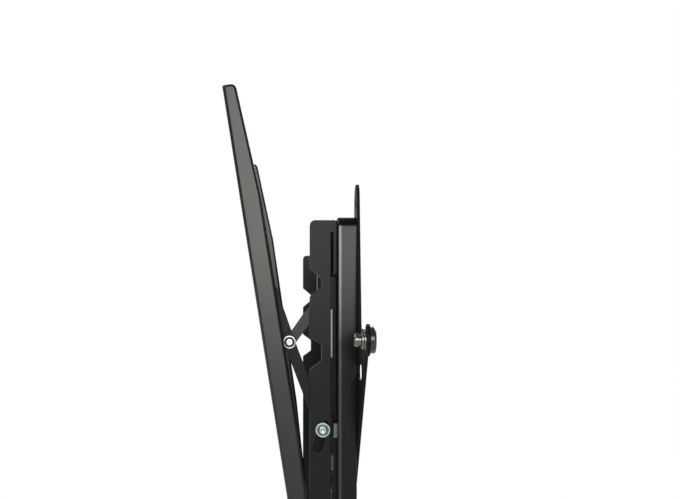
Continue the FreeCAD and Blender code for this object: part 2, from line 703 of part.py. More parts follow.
def slide_pin():
    seat = ARM_INNER - GAP
    head = rod_x(SLIDE_HEAD_D / 2.0, seat - SLIDE_HEAD_H, seat, SLIDE_Y, SLIDE_Z)
    head = head.makeFillet(BREAK, ring_edges(head, "x", seat - SLIDE_HEAD_H, SLIDE_HEAD_D / 2.0))
    return head.fuse(rod_x(SLIDE_D / 2.0, seat, LONG_OUT, SLIDE_Y, SLIDE_Z)).removeSplitter()


# Tilt arm, drawn upright and then leaned about the tilt pivot
def arm_profile(depth, low_depth):
    """Side outline of a flange, with its depth over most of its length and at the pivot."""
    front = PIVOT_Y - ARM_FRONT
    top = PIVOT_Z + ARM_LEN
    return [
        (front, PIVOT_Z, 0),
        (front, top, BREAK * 2),
        (front + ARM_TOP_DEPTH, top, ARM_TOP_R),
        (front + depth, top - ARM_TOP_TAPER, 0),
        (front + depth, PIVOT_Z + ARM_LOW_TAPER, 0),
        (front + low_depth, PIVOT_Z, 0),
    ]


def slide_slot():
    """Slot of the slide pin in the inner flange, in the upright arm."""
    lean = math.radians(-TILT)
    dy = SLIDE_Y - PIVOT_Y
    dz = SLIDE_Z - PIVOT_Z
    y = PIVOT_Y + dy * math.cos(lean) - dz * math.sin(lean)
    z = PIVOT_Z + dy * math.sin(lean) + dz * math.cos(lean)
    r = SLIDE_D / 2.0 + SLIDE_PLAY
    x0 = ARM_INNER - 1
    x1 = ARM_INNER + ARM_T + 1
    return bar_x(r, x0, x1, (y, z - SLIDE_BACK), (y, z + SLIDE_ON))


def tilt_arm():
    deep = ARM_DEPTH + ARM_INNER_MORE
    inside = (ARM_INNER + ARM_T, ARM_OUTER - ARM_T)
    front = PIVOT_Y - ARM_FRONT
    arm = plate_x(arm_profile(deep, ARM_LOW_DEPTH + ARM_INNER_MORE), ARM_INNER, ARM_OUTER)
    keep = plate_x(arm_profile(ARM_DEPTH, ARM_LOW_DEPTH), inside[0], ARM_OUTER)
    arm = arm.cut(box(inside[0], ARM_OUTER + 1, front - 1, PIVOT_Y + deep, PIVOT_Z, PIVOT_Z + ARM_LEN + 1))
    arm = arm.fuse(keep).removeSplitter()
    bends = straight_edges(arm, "z", lambda p: abs(p.y - front) < 1e-6)
    arm = arm.makeFillet(ARM_BEND_R, bends)
    hollow = box(*inside, front + ARM_T, PIVOT_Y + deep, PIVOT_Z - 1, PIVOT_Z + ARM_LEN + 1)
    arm = arm.cut(hollow)
    for x0, x1 in ((ARM_INNER, inside[0]), (inside[1], ARM_OUTER)):
        arm = arm.fuse(rod_x(ARM_EAR_R, x0, x1, PIVOT_Y, PIVOT_Z))
    arm = arm.removeSplitter()
    low = PIVOT_Z - ARM_EAR_R - 1
    arm = arm.cut(box(*inside, front - 2, PIVOT_Y + deep, low, PIVOT_Z + ARM_WEB_LOW))
    arm = arm.cut(rod_x(PIVOT_D / 2.0 + RUN, ARM_INNER - 1, ARM_OUTER + 1, PIVOT_Y, PIVOT_Z))
    arm = arm.cut(slide_slot())
    middle = (ARM_INNER + ARM_OUTER) / 2.0
    reach = (TV_SLOT_L - TV_SLOT_W) / 2.0
    for i in range(TV_SLOT_COUNT):
        z = PIVOT_Z + TV_SLOT_FIRST + i * TV_SLOT_PITCH
        r = TV_SLOT_W / 2.0
        run = [rod_y(r, front - 1, front + ARM_T + 1, middle, z + s * reach) for s in (-1, 1)]
        run.append(box(middle - r, middle + r, front - 1, front + ARM_T + 1, z - reach, z + reach))
        arm = arm.cut(run[0].multiFuse(run[1:]).removeSplitter())
    arm.rotate(V(0, PIVOT_Y, PIVOT_Z), V(1, 0, 0), TILT)
    return arm


# Writing the pieces
def save(name, shapes):
    if not isinstance(shapes, list):
        shapes = [shapes]
    solids = []
    for shape in shapes:
        solids.extend(shape.Solids)
    whole = solids[0] if len(solids) == 1 else Part.makeCompound(solids)
    whole.exportStep("parts/%s.step" % name)


def mirrored(shapes):
    if not isinstance(shapes, list):
        shapes = [shapes]
    return [shape.mirror(V(0, 0, 0), V(1, 0, 0)) for shape in shapes]


def eased_arm(shape):
    """The right arm turned to the steeper rest of the left one."""
    shape = shape.copy()
    shape.rotate(V(0, PIVOT_Y, PIVOT_Z), V(1, 0, 0), -LEFT_EASE)
    return shape


def eased_short(shape):
    shape = shape.copy()
    shape.rotate(V(0, PIN_Y, PIN_Z), V(1, 0, 0), -LEFT_EASE * SHORT_RATIO)
    return shape


def eased_long(shape):
    shape = shape.copy()
    shape.rotate(V(0, MID_Y, MID_Z), V(1, 0, 0), -LEFT_EASE * LONG_RATIO)
    return eased_short(shape)


def both(shapes):
    """The right-hand pieces and their mirror images, as one group."""
    if not isinstance(shapes, list):
        shapes = [shapes]
    return shapes + mirrored(shapes)


def main():
    os.makedirs("parts", exist_ok=True)
    save("wall_tray", wall_tray())
    plate = rear_plate()
    save("rear_plate_right", plate)
    save("rear_plate_left", mirrored(plate))
    save("levelling_screws", both(levelling_screw()))
    save("levelling_washers", both(levelling_washers()))
    save("levelling_feet", both(levelling_foot()))
    save("wall_pads", both(wall_pad()))
    save("hook_rail", hook_rail())
    save("rail_spacers", rail_spacers())
    inside = TRAY_FRONT + TRAY_T
    save("rail_rivets", [rivet(RAIL_FRONT, inside, x, rail_mid()) for x in rail_places()])
    save("stop_bar", stop_bar())
    save("stop_bar_rivets", [rivet(TRAY_FRONT - BAR_T, inside, x, BAR_Z) for x in bar_places()])
    flange = PLATE_FRONT - TRAY_T
    save("plate_rivets", [rivet(flange, PLATE_REAR, x, z) for x, z in plate_rivet_places()])
    bracket = {
        "hook_bracket": hook_bracket(),
        "glide_strip": glide_strip(),
        "safety_screw": safety_screw(),
        "pivot_bolt": pivot_bolt(),
        "pivot_nut": pivot_nut(),
        "pivot_sleeves": pivot_sleeves(),
        "short_link_pin": short_link_pin(),
    }
    for name, shape in bracket.items():
        save(name + "_right", shape)
        save(name + "_left", mirrored(shape))
    stay = {
        "long_link": long_link(),
        "mid_bolt": mid_bolt(),
        "mid_nut": mid_nut(),
        "lock_bolt": lock_bolt(),
        "lock_washer": lock_washer(),
        "lock_nut": lock_nut(),
        "slide_pin": slide_pin(),
    }
    for name, shape in stay.items():
        save(name + "_right", shape)
        save(name + "_left", mirrored(eased_long(shape)))
    short = short_link()
    save("short_link_right", short)
    save("short_link_left", mirrored(eased_short(short)))
    arm = tilt_arm()
    save("tilt_arm_right", arm)
    save("tilt_arm_left", mirrored(eased_arm(arm)))


if __name__ == "__main__":
    main()
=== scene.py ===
"""Finishes, fasteners and stage for a tilting television wall mount."""

import json
import math

import bmesh
import bpy
from mathutils import Matrix, Vector

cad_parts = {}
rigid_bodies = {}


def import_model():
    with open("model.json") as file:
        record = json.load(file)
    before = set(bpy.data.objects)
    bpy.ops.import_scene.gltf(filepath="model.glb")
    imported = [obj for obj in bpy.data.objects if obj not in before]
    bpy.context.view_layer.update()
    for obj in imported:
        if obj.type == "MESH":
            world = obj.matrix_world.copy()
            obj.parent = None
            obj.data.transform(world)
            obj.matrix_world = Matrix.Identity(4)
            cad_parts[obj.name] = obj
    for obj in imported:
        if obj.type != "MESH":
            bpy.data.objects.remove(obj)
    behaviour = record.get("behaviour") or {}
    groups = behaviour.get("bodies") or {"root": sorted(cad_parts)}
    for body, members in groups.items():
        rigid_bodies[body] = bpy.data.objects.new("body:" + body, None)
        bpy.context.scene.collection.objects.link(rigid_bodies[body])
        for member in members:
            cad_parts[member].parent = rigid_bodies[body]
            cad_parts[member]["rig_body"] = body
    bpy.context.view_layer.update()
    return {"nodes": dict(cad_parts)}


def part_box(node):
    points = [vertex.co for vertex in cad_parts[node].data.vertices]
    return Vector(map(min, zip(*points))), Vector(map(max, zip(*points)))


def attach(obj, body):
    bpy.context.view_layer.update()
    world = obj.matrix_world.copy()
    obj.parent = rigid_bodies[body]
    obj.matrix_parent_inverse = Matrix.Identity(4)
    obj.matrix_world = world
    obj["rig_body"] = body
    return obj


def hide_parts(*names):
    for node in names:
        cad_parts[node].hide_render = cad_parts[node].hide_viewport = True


bl_info = {
    "name": "Tilting Television Wall Mount",
    "version": (1, 0, 0),
    "blender": (4, 5, 0),
    "location": "3D View > Sidebar > Mount",
    "description": "Coats, plates and lights a tilting television wall mount",
    "category": "Object",
}

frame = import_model()
SIDES = ("right", "left")
MM = 0.001
WHITE = (1.0, 1.0, 1.0)

# Meshing
WELD = 1e-6                            # corners closer than this are one
FLAT_WITHIN = math.radians(0.3)        # faces within this angle join to one flat
BREAK_ABOVE = math.radians(38)         # edges sharper than this are rounded
SHEET_SMOOTH_BELOW = math.radians(32)
TURNED_SMOOTH_BELOW = math.radians(30)
PARTING = 1.0                          # how far stacked pieces part while their edges are rounded
SKIN = 0.05 * MM                       # a step into a piece from one of its faces

# Where one finish ends on a piece
FRONT_SKIN = 0.02 * MM                 # depth of the tray's front face
TRAY_END_SKIN = 0.5 * MM               # depth of the tray's end faces
TRAY_END_FACING = 0.9                  # cosines from the X axis
BAR_END_FACING = 0.5
HIGHLIGHT_ROOT_Y = -28.1 * MM                    # root of the painted highlight on the noses behind the hook brackets
HIGHLIGHT_BOTTOM = -71.0 * MM
HIGHLIGHT_TOP = -56.5 * MM

# Fasteners: outlines are (share of the head's radius, share of its height)
SHANK_CHAMFER = 0.5 * MM
SOCKET_MOUTH = 1.22                    # shares of the socket's radius
SOCKET_POINT = 0.3
SOCKET_LEAD = 0.12 * MM
SOCKET_CONE = 0.4 * MM
LOCK_SHANK = 2.9 * MM
LOCK_HEAD = ((0.94, 0.0), (1.0, 0.06), (1.0, 0.22), (0.97, 0.30), (0.90, 0.34), (0.86, 0.31),
             (0.82, 0.06), (0.71, 0.06), (0.70, 0.74), (0.66, 0.88), (0.58, 0.97), (0.48, 1.0))
# A dark ring laid in the head's groove: painted shade in the groove.
LOCK_GROOVE_SHADE = ((0.70, 0.05), (0.70, 0.18), (0.83, 0.18), (0.83, 0.05))
LOCK_SOCKET = (0.32, 0.45)             # radius and depth, as the same shares
MID_SHANK = 3.0 * MM
MID_HEAD = ((0.94, 0.0), (1.0, 0.07), (1.0, 0.54), (0.97, 0.62), (0.88, 0.66), (0.79, 0.60),
            (0.77, 0.22), (0.62, 0.18), (0.53, 0.22), (0.52, 0.80), (0.47, 0.94), (0.36, 1.0))
# A dark rubber ring laid in the head's groove: painted shade in the groove.
MID_GROOVE_SHADE = ((0.50, 0.10), (0.50, 0.34), (0.79, 0.34), (0.79, 0.10))
MID_SOCKET = (0.16, 0.4)
TOOTH_RADIUS = 0.93                    # shares of the washer's radius
TOOTH_LONG = 0.13
TOOTH_WIDE = 0.09
TOOTH_TALL = 0.24 * MM
SAFETY_SHANK = 2.5 * MM
THREAD_START = 0.6 * MM                # past the bracket
THREAD_END = 1.6 * MM                  # before the screw's tip
PAD_RING_REACH = 0.82                  # outermost ring, as a share of the pad's radius
PAD_RING_SUNK = 0.9                    # share of a ring's height that lies in the pad

# Stage
SENSOR_WIDTH = 36.0
CLIP_START = 0.01
KEY_TINT = (0.965, 1.0, 0.93)
FRONT_TINT = (1.0, 1.0, 0.98)
FLOOR_REACH = 6.0
FLOOR_TONE = 0.8
SHADOW_NEAR = 0.35                     # the floor shows its shadow up to this distance
SHADOW_FAR = 0.62                      # and is white from this one
BACKDROP_EDGE = 0.45                   # cosines from the far side, where the backdrop stands
BACKDROP_FULL = 0.9


# Settings that a user would change
class MountFinish(bpy.types.PropertyGroup):
    """Colours and grain of the mount's finishes."""

    coat_colour: bpy.props.FloatVectorProperty(
        name="Coat", description="Colour of the powder coat", subtype="COLOR",
        size=3, min=0.0, max=1.0, default=(0.0105, 0.0120, 0.0116))
    arm_colour: bpy.props.FloatVectorProperty(
        name="Arm Coat", description="Colour of the coat on the tilt arms", subtype="COLOR",
        size=3, min=0.0, max=1.0, default=(0.0095, 0.0110, 0.0098))
    tray_colour: bpy.props.FloatVectorProperty(
        name="Tray Coat", description="Colour of the coat on the wall tray", subtype="COLOR",
        size=3, min=0.0, max=1.0, default=(0.0016, 0.0019, 0.0020))
    plate_colour: bpy.props.FloatVectorProperty(
        name="Plate Coat", description="Colour of the coat on the rear plates", subtype="COLOR",
        size=3, min=0.0, max=1.0, default=(0.005, 0.0053, 0.0055))
    grain: bpy.props.FloatProperty(
        name="Coat Grain", description="Size of the grain in the powder coat",
        subtype="DISTANCE", default=0.7 * MM, precision=5)
    zinc_colour: bpy.props.FloatVectorProperty(
        name="Zinc", description="Colour of the plated fasteners", subtype="COLOR",
        size=3, min=0.0, max=1.0, default=(0.31, 0.40, 0.385))
    bright_colour: bpy.props.FloatVectorProperty(
        name="Bright Steel", description="Colour of the middle bolts", subtype="COLOR",
        size=3, min=0.0, max=1.0, default=(0.84, 0.86, 0.84))
    dull_colour: bpy.props.FloatVectorProperty(
        name="Dull Zinc", description="Colour of the levelling screws and washers", subtype="COLOR",
        size=3, min=0.0, max=1.0, default=(0.145, 0.142, 0.132))
    bar_colour: bpy.props.FloatVectorProperty(
        name="Bar End", description="Colour of the bare ends of the stop bar", subtype="COLOR",
        size=3, min=0.0, max=1.0, default=(0.120, 0.127, 0.127))
    # The nose colour is lighter than the coat: a painted highlight on the noses behind the hook
    # brackets.
    nose_highlight_colour: bpy.props.FloatVectorProperty(
        name="Nose", description="Colour of the highlighted noses behind the hook brackets", subtype="COLOR",
        size=3, min=0.0, max=1.0, default=(0.066, 0.070, 0.069))
    foot_colour: bpy.props.FloatVectorProperty(
        name="Foot", description="Colour of the moulded feet", subtype="COLOR",
        size=3, min=0.0, max=1.0, default=(0.014, 0.014, 0.014))
    rubber_colour: bpy.props.FloatVectorProperty(
        name="Rubber", description="Colour of the wall pads", subtype="COLOR",
        size=3, min=0.0, max=1.0, default=(0.018, 0.018, 0.018))
    nylon_colour: bpy.props.FloatVectorProperty(
        name="Nylon", description="Colour of the glide strips", subtype="COLOR",
        size=3, min=0.0, max=1.0, default=(0.235, 0.246, 0.240))


class MountSizes(bpy.types.PropertyGroup):
    """Sizes of the small detail on the mount."""

    sheet_break: bpy.props.FloatProperty(
        name="Sheet Edge", description="Rounding of the coated sheet edges",
        subtype="DISTANCE", default=0.35 * MM, precision=5)
    tray_rim: bpy.props.FloatProperty(
        name="Tray Rim", description="Depth of the glossier rim at each end of the tray",
        subtype="DISTANCE", default=3.1 * MM, precision=5)
    fastener_break: bpy.props.FloatProperty(
        name="Fastener Edge", description="Rounding of edges on turned pieces",
        subtype="DISTANCE", default=0.16 * MM, precision=5)
    thread_pitch: bpy.props.FloatProperty(
        name="Thread Pitch", description="Pitch of the screw threads",
        subtype="DISTANCE", default=0.9 * MM, precision=5)
    thread_height: bpy.props.FloatProperty(
        name="Thread Height", description="Height of the thread ridge over the shank",
        subtype="DISTANCE", default=0.26 * MM, precision=5)
    washer_teeth: bpy.props.IntProperty(
        name="Washer Teeth", description="Teeth round each lock washer", default=22)
    pad_rings: bpy.props.IntProperty(
        name="Pad Rings", description="Raised rings on each wall pad", default=3)
    pad_ring_height: bpy.props.FloatProperty(
        name="Pad Ring Height", description="Height of the rings on a wall pad",
        subtype="DISTANCE", default=0.35 * MM, precision=5)


class MountStage(bpy.types.PropertyGroup):
    """Camera, lamps and floor."""

    camera_place: bpy.props.FloatVectorProperty(
        name="Camera", description="Place of the camera", subtype="TRANSLATION",
        size=3, default=(0.995, -0.064, 0.0502))
    lens: bpy.props.FloatProperty(
        name="Lens", description="Focal length in millimetres", default=49.5)
    shift: bpy.props.FloatVectorProperty(
        name="Shift", description="Shift of the picture frame", size=2, default=(0.075, 0.117))
    floor_height: bpy.props.FloatProperty(
        name="Floor", description="Height of the floor", subtype="DISTANCE", default=-0.26)
    key_power: bpy.props.FloatProperty(
        name="Key", description="Power of the lamp behind the camera", default=44.0)
    strip_power: bpy.props.FloatProperty(
        name="Strip", description="Power of the low strip lamp under the key", default=6.5)
    front_power: bpy.props.FloatProperty(
        name="Front", description="Power of the high lamp on the television side", default=80.0)
    rear_power: bpy.props.FloatProperty(
        name="Rear", description="Power of the lamp beyond the mount", default=80.0)
    ambient: bpy.props.FloatProperty(
        name="Ambient", description="Light from all round", default=0.24)


# Shader sums written as Python
class Wire:
    """A shader value that takes part in sums, as in 1 - mask."""

    def __init__(self, graph, socket):
        self.graph = graph
        self.socket = socket

    def sum_with(self, operation, first, second):
        return self.graph.add("ShaderNodeMath", {"operation": operation}, {0: first, 1: second})

    def __add__(self, other):
        return self.sum_with("ADD", self, other)

    def __radd__(self, other):
        return self.sum_with("ADD", other, self)

    def __sub__(self, other):
        return self.sum_with("SUBTRACT", self, other)

    def __rsub__(self, other):
        return self.sum_with("SUBTRACT", other, self)

    def __mul__(self, other):
        return self.sum_with("MULTIPLY", self, other)

    def at_most(self, other):
        return self.sum_with("MINIMUM", self, other)

    def at_least(self, other):
        return self.sum_with("MAXIMUM", self, other)


class Graph:
    """The nodes of one material or world."""

    def __init__(self, owner):
        owner.use_nodes = True
        self.tree = owner.node_tree
        self.tree.nodes.clear()

    def add(self, kind, settings=None, sockets=None, out=0):
        node = self.tree.nodes.new(kind)
        for name, value in (settings or {}).items():
            setattr(node, name, value)
        for name, value in (sockets or {}).items():
            if isinstance(value, Wire):
                self.tree.links.new(value.socket, node.inputs[name])
            else:
                node.inputs[name].default_value = value
        if not len(node.outputs):
            return None
        return Wire(self, node.outputs[out])

    def noise(self, place, scale, detail=2.0, roughness=0.5):
        sockets = {"Vector": place, "Scale": scale, "Detail": detail, "Roughness": roughness}
        return self.add("ShaderNodeTexNoise", None, sockets, "Fac")

    def mix(self, share, first, second):
        settings = {"data_type": "RGBA"}
        return self.add("ShaderNodeMix", settings, {0: share, 6: first, 7: second}, 2)


def rgba(colour, lift=1.0):
    return (*[min(1.0, part * lift) for part in colour], 1.0)


def finish_settings():
    return bpy.context.scene.mount_finish


def size_settings():
    return bpy.context.scene.mount_sizes


def stage_settings():
    return bpy.context.scene.mount_stage


# Finishes
def powder_coat(name, colour, gloss, lustre):
    """Fine-grained powder coat: gloss is its roughness, lustre its specular level."""
    found = bpy.data.materials.get(name)
    if found:
        return found
    material = bpy.data.materials.new(name)
    graph = Graph(material)
    place = graph.add("ShaderNodeTexCoord", None, None, "Object")
    grain = graph.noise(place, 1.0 / finish_settings().grain, 2.0, 0.6)
    peel = graph.noise(place, 0.22 / finish_settings().grain, 1.0)
    cloud = graph.noise(place, 11.0, 4.0, 0.6)
    # The bevelled edge faces are marked and their colour lightened: partly edge wear, partly a painted
    # highlight along the edges.
    edge_wear_and_highlight = graph.add("ShaderNodeAttribute", {"attribute_name": "edge_wear_and_highlight"}, None, "Fac")
    tone = graph.mix(cloud, rgba(colour, 0.86), rgba(colour, 1.14))
    flecked = graph.mix((grain - 0.62).at_least(0.0) * 1.6, tone, rgba(colour, 1.9))
    worn_and_highlit = graph.mix(edge_wear_and_highlight * (0.25 + cloud * 0.35), flecked, rgba(colour, 2.1))
    rough = gloss + (cloud - 0.5) * 0.10 + (grain - 0.5) * 0.08 - edge_wear_and_highlight * 0.05
    height = grain * 0.55 + peel * 0.45
    normal = graph.add("ShaderNodeBump", None,
                       {"Strength": 0.28, "Distance": 0.05 * MM, "Height": height})
    shader = graph.add("ShaderNodeBsdfPrincipled", None, {
        "Base Color": worn_and_highlit, "Roughness": rough.at_most(1.0), "Normal": normal,
        "Specular IOR Level": lustre})
    graph.add("ShaderNodeOutputMaterial", None, {"Surface": shader})
    return material


def plating(name, colour, gloss, texture=1.0):
    """Plated metal: gloss is its roughness, texture the strength of its marks and fine relief."""
    found = bpy.data.materials.get(name)
    if found:
        return found
    material = bpy.data.materials.new(name)
    graph = Graph(material)
    place = graph.add("ShaderNodeTexCoord", None, None, "Object")
    cloud = graph.noise(place, 160.0, 3.0, 0.6)
    spangle = graph.noise(place, 1500.0, 2.0)
    drawn = graph.noise(place, 900.0, 3.0, 0.7)
    tone = graph.mix(cloud, rgba(colour, 0.80), rgba(colour, 1.10))
    dulled = graph.mix((drawn - 0.55).at_least(0.0) * 1.5 * texture, tone, rgba(colour, 0.55))
    rough = gloss + (cloud - 0.5) * 0.14 * texture + (spangle - 0.5) * 0.08 * texture
    normal = graph.add("ShaderNodeBump", None,
                       {"Strength": 0.2 * texture, "Distance": 0.02 * MM, "Height": drawn})
    shader = graph.add("ShaderNodeBsdfPrincipled", None, {
        "Base Color": dulled, "Roughness": rough.at_least(0.08), "Normal": normal,
        "Metallic": 1.0})
    graph.add("ShaderNodeOutputMaterial", None, {"Surface": shader})
    return material


def moulding(name, colour, gloss, grain, depth, lustre):
    """Moulded plastic or rubber with a skin texture of that grain and depth."""
    found = bpy.data.materials.get(name)
    if found:
        return found
    material = bpy.data.materials.new(name)
    graph = Graph(material)
    place = graph.add("ShaderNodeTexCoord", None, None, "Object")
    skin = graph.noise(place, 1.0 / grain, 3.0, 0.6)
    cloud = graph.noise(place, 70.0, 3.0)
    tone = graph.mix(cloud, rgba(colour, 0.88), rgba(colour, 1.12))
    rough = gloss + (cloud - 0.5) * 0.12 + (skin - 0.5) * 0.10
    normal = graph.add("ShaderNodeBump", None,
                       {"Strength": 0.3, "Distance": depth, "Height": skin})
    shader = graph.add("ShaderNodeBsdfPrincipled", None, {
        "Base Color": tone, "Roughness": rough.at_least(0.05), "Normal": normal,
        "Specular IOR Level": lustre})
    graph.add("ShaderNodeOutputMaterial", None, {"Surface": shader})
    return material


def coat_tray():
    return powder_coat("coat_tray", finish_settings().tray_colour, gloss=0.22, lustre=0.20)


def coat_rim():
    return powder_coat("coat_rim", finish_settings().tray_colour, gloss=0.22, lustre=0.62)


def coat_web():
    return powder_coat("coat_web", finish_settings().coat_colour, gloss=0.90, lustre=0.005)


def coat_arm():
    return powder_coat("coat_arm", finish_settings().arm_colour, gloss=0.29, lustre=0.36)


def coat_link():
    return powder_coat("coat_link", finish_settings().arm_colour, gloss=0.34, lustre=0.26)


def coat_bracket():
    return powder_coat("coat_bracket", finish_settings().coat_colour, gloss=0.30, lustre=0.09)


# A lighter coat for the noses: a painted highlight.
def coat_nose_highlight():
    return powder_coat("coat_nose_highlight", finish_settings().nose_highlight_colour, gloss=0.80, lustre=0.10)


def coat_plate():
    return powder_coat("coat_plate", finish_settings().plate_colour, gloss=0.50, lustre=0.05)


def zinc():
    return plating("zinc", finish_settings().zinc_colour, gloss=0.32)


def bright_steel():
    return plating("bright_steel", finish_settings().bright_colour, gloss=0.42)


def dull_zinc():
    return plating("dull_zinc", finish_settings().dull_colour, gloss=0.25, texture=0.1)


def grey_bar():
    return powder_coat("grey_bar", finish_settings().bar_colour, gloss=0.80, lustre=0.10)


def foot_gloss():
    return moulding("foot_gloss", finish_settings().foot_colour,
                    gloss=0.20, grain=0.5 * MM, depth=0.02 * MM, lustre=0.50)


def pad_rubber():
    return moulding("rubber_skin", finish_settings().rubber_colour,
                    gloss=0.72, grain=0.35 * MM, depth=0.05 * MM, lustre=0.30)


def glide_nylon():
    return moulding("nylon_skin", finish_settings().nylon_colour,
                    gloss=0.42, grain=0.4 * MM, depth=0.02 * MM, lustre=0.45)


# Meshes
def body_of(node):
    return frame["nodes"][node]["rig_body"]


def stand_in(mesh, name, node, material):
    """Puts a finished mesh in the place of a CAD node."""
    piece = bpy.data.objects.new(name, mesh)
    bpy.context.scene.collection.objects.link(piece)
    mesh.materials.clear()
    mesh.materials.append(material)
    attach(piece, body_of(node))
    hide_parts(node)
    return piece


def shift_beyond(shape, seam, shift):
    """Moves what lies beyond a seam along Y, to part stacked pieces or set them back."""
    beyond = set()
    for face in shape.faces:
        inside = face.calc_center_median() - face.normal * SKIN
        if inside.y > seam:
            beyond.update(face.verts)
    for vert in beyond:
        vert.co.y += shift


def eased(node, width, material, seam=None):
    """The node's own shape with its sharp edges broken and its curves smooth.

    A seam is the Y at which two stacked pieces of the node touch.
    """
    shape = bmesh.new()
    shape.from_mesh(frame["nodes"][node].data)
    if seam is not None:
        shift_beyond(shape, seam, PARTING)
    bmesh.ops.remove_doubles(shape, verts=shape.verts, dist=WELD)
    bmesh.ops.dissolve_limit(shape, angle_limit=FLAT_WITHIN, verts=shape.verts[:],
                             edges=shape.edges[:], use_dissolve_boundaries=False)
    sharp = [edge for edge in shape.edges
             if len(edge.link_faces) == 2 and edge.calc_face_angle(0.0) > BREAK_ABOVE]
    # Marks the new rounded edge faces, which the coats lighten: edge wear and a painted edge highlight.
    edge_wear_and_highlight = shape.faces.layers.float.new("edge_wear_and_highlight")
    made = bmesh.ops.bevel(shape, geom=sharp, offset=width, offset_type="OFFSET", segments=2,
                           profile=0.5, affect="EDGES", clamp_overlap=False, material=-1)
    for face in made["faces"]:
        face[edge_wear_and_highlight] = 1.0
    if seam is not None:
        shift_beyond(shape, PARTING / 2, -PARTING)
    mesh = bpy.data.meshes.new(node + "_eased")
    shape.to_mesh(mesh)
    shape.free()
    mesh.shade_smooth()
    mesh.set_sharp_from_angle(angle=SHEET_SMOOTH_BELOW)
    piece = stand_in(mesh, node + "_eased", node, material)
    flats = piece.modifiers.new("flats", "WEIGHTED_NORMAL")
    flats.keep_sharp = True
    return piece


def cut_flat(mesh, place, normal):
    """Cuts the faces of a mesh along a plane, so that a finish can end there."""
    shape = bmesh.new()
    shape.from_mesh(mesh)
    whole = shape.verts[:] + shape.edges[:] + shape.faces[:]
    bmesh.ops.bisect_plane(shape, geom=whole, plane_co=place, plane_no=normal)
    shape.to_mesh(mesh)
    shape.free()


def turned(rows, ring_shaped=False, steps=48):
    """Mesh turned about Z from (radius, height, hexed) rows, capped at both ends or closed to a ring."""
    shape = bmesh.new()
    rings = []
    for radius, height, hexed in rows:
        ring = []
        for i in range(steps):
            angle = 2 * math.pi * i / steps
            out = radius
            if hexed:
                out = radius / math.cos((angle + math.pi / 6) % (math.pi / 3) - math.pi / 6)
            ring.append(shape.verts.new((out * math.cos(angle), out * math.sin(angle), height)))
        rings.append(ring)
    following = rings[1:] + rings[:1] if ring_shaped else rings[1:]
    for low, high in zip(rings, following):
        for i in range(steps):
            j = (i + 1) % steps
            shape.faces.new((low[i], low[j], high[j], high[i]))
    if not ring_shaped:
        shape.faces.new(list(reversed(rings[0])))
        shape.faces.new(rings[-1])
    bmesh.ops.recalc_face_normals(shape, faces=shape.faces)
    mesh = bpy.data.meshes.new("turned")
    shape.to_mesh(mesh)
    shape.free()
    return mesh


def laid_along_x(mesh, start, y, z, sign):
    """Lays a turned mesh along X from start, pointing to sign."""
    turn = Matrix.Rotation(sign * math.pi / 2, 4, "Y")
    mesh.transform(Matrix.Translation((start, y, z)) @ turn)
    mesh.shade_smooth()
    mesh.set_sharp_from_angle(angle=TURNED_SMOOTH_BELOW)
    return mesh


def span_x(node, side):
    """Inner end, outer end, centre and outward sign of a node that lies along X."""
    low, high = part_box(node)
    y = (low.y + high.y) / 2
    z = (low.z + high.z) / 2
    if side == "right":
        return low.x, high.x, y, z, 1
    return high.x, low.x, y, z, -1


def bolt_rows(shank, seat, head, tall, outline):
    """Rows of a bolt: a chamfered shank up to its seat, then the outline of its head."""
    rows = [(shank - SHANK_CHAMFER, 0.0, False), (shank, SHANK_CHAMFER, False), (shank, seat, False)]
    return rows + [(head * out, seat + tall * up, False) for out, up in outline]


def socket_rows(radius, top, depth):
    """Rows of a hexagon socket in a head's top face."""
    return [(radius * SOCKET_MOUTH, top, False), (radius, top - SOCKET_LEAD, True),
            (radius, top - depth, True), (radius * SOCKET_POINT, top - depth - SOCKET_CONE, False)]


# Geometry node trees
class Tree:
    """A geometry node tree with named inputs."""

    def __init__(self, name, inputs):
        self.group = bpy.data.node_groups.new(name, "GeometryNodeTree")
        self.group.interface.new_socket("Geometry", in_out="OUTPUT", socket_type="NodeSocketGeometry")
        self.ids = {}
        for label, kind in inputs:
            socket = self.group.interface.new_socket(label, in_out="INPUT", socket_type=kind)
            self.ids[label] = socket.identifier
        self.given = self.group.nodes.new("NodeGroupInput")

    def add(self, kind, settings=None, sockets=None, out=0):
        node = self.group.nodes.new(kind)
        for name, value in (settings or {}).items():
            setattr(node, name, value)
        for name, value in (sockets or {}).items():
            if isinstance(value, bpy.types.NodeSocket):
                self.group.links.new(value, node.inputs[name])
            else:
                node.inputs[name].default_value = value
        return node.outputs[out]

    def value(self, label):
        return self.given.outputs[label]

    def sum(self, operation, first, second):
        return self.add("ShaderNodeMath", {"operation": operation}, {0: first, 1: second})

    def close(self, geometry):
        whole = self.add("GeometryNodeRealizeInstances", None, {0: geometry})
        done = self.add("GeometryNodeSetMaterial", None, {0: whole, "Material": self.value("Material")})
        end = self.group.nodes.new("NodeGroupOutput")
        self.group.links.new(done, end.inputs[0])

    def mesh(self, name, values):
        """Runs the tree once and returns its result as a plain mesh."""
        carrier = bpy.data.objects.new(name + "_carrier", bpy.data.meshes.new(name))
        bpy.context.scene.collection.objects.link(carrier)
        modifier = carrier.modifiers.new("tree", "NODES")
        modifier.node_group = self.group
        for label, value in values.items():
            modifier[self.ids[label]] = value
        graph = bpy.context.evaluated_depsgraph_get()
        graph.update()
        mesh = bpy.data.meshes.new_from_object(carrier.evaluated_get(graph))
        carrier.modifiers.remove(modifier)
        bpy.data.objects.remove(carrier)
        return mesh


